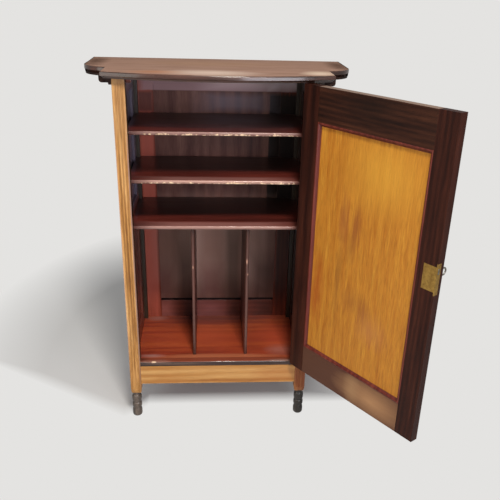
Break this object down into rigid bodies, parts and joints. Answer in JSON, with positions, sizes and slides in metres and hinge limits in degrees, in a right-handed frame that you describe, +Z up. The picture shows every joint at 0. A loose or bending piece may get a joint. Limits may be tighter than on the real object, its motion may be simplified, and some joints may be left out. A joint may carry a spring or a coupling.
{
  "type": "sheet music cabinet",
  "caption": "Narrow music cabinet on turned feet, with shelves over upright slots, a shaped moulded top and a panelled door on butt hinges.",
  "frame": {"origin": "on the floor, under the middle of the front left foot", "axes": "+X to the right and +Y to the back as seen from the front, +Z up"},
  "size_m": [0.8877, 0.7339, 1.044],
  "materials": {
    "golden_walnut": "satin",
    "dark_turned_wood": "satin",
    "polished_top": "polished",
    "satin_panel": "satin",
    "dark_frame": "satin",
    "red_bead": "satin",
    "red_floor": "polished",
    "worn_shelf": "satin",
    "divider_wood": "satin",
    "back_wood": "satin",
    "sill_wood": "satin",
    "side_wood": "satin",
    "aged_brass": "aged",
    "screw_steel": "dull",
    "dull_steel": "dull"
  },
  "bodies": {
    "carcass": {"front_left_post": "golden_walnut", "front_right_post": "golden_walnut", "rear_left_post": "golden_walnut", "rear_right_post": "golden_walnut", "front_left_foot": "dark_turned_wood", "front_right_foot": "dark_turned_wood", "rear_left_foot": "dark_turned_wood", "rear_right_foot": "dark_turned_wood", "top_board": "polished_top", "left_cove": "polished_top", "right_cove": "polished_top", "left_side_stiles": "side_wood", "left_side_top_rail": "side_wood", "left_side_middle_rail": "side_wood", "left_side_bottom_rail": "side_wood", "left_upper_panel": "side_wood", "left_lower_panel": "side_wood", "right_side_stiles": "side_wood", "right_side_top_rail": "side_wood", "right_side_middle_rail": "side_wood", "right_side_bottom_rail": "side_wood", "right_upper_panel": "side_wood", "right_lower_panel": "side_wood", "back_stiles": "back_wood", "back_top_rail": "back_wood", "back_bottom_rail": "back_wood", "back_panel": "back_wood", "back_bead": "back_wood", "apron": "golden_walnut", "sill": "sill_wood", "floor_board": "red_floor", "lower_shelf": "worn_shelf", "middle_shelf": "worn_shelf", "upper_shelf": "worn_shelf", "left_cleats": "sill_wood", "right_cleats": "sill_wood", "left_divider": "divider_wood", "right_divider": "divider_wood", "door_stop": "sill_wood", "strike_plate": "aged_brass", "post_hinge_leaves": "aged_brass", "hinge_pins": "aged_brass", "post_hinge_screws": "screw_steel"},
    "door": {"door_hinge_stile": "dark_frame", "door_lock_stile": "dark_frame", "door_top_rail": "dark_frame", "door_bottom_rail": "dark_frame", "door_panel": "satin_panel", "door_bead_uprights": "red_bead", "door_bead_crosses": "red_bead", "door_outer_bead_uprights": "red_bead", "door_outer_bead_crosses": "red_bead", "door_hinge_leaves": "aged_brass", "door_hinge_screws": "screw_steel", "lock_case": "aged_brass", "key_escutcheon": "aged_brass"},
    "lock_bolt": {"lock_bolt": "dull_steel"},
    "key": {"key": "dull_steel"}
  },
  "joints": [
    {"name": "door_swing", "type": "hinge", "parent": "carcass", "child": "door", "pos_m": [0.4905, -0.021, 0.6145], "axis": [0, 0, 1], "range_deg": [-124.5, 47.5]},
    {"name": "key_turn", "type": "hinge", "parent": "door", "child": "key", "pos_m": [0.74107, -0.39353, 0.6545], "axis": [0.8241, 0.5664, 0], "range_deg": [0, 180]},
    {"name": "bolt_slide", "type": "slide", "parent": "door", "child": "lock_bolt", "axis": [0.5664, -0.8241, 0], "range_m": [0, 0.007]}
  ],
  "couplings": [
    {"joint": "key_turn", "follows": "bolt_slide", "rad_per_m": 448.8}
  ]
}
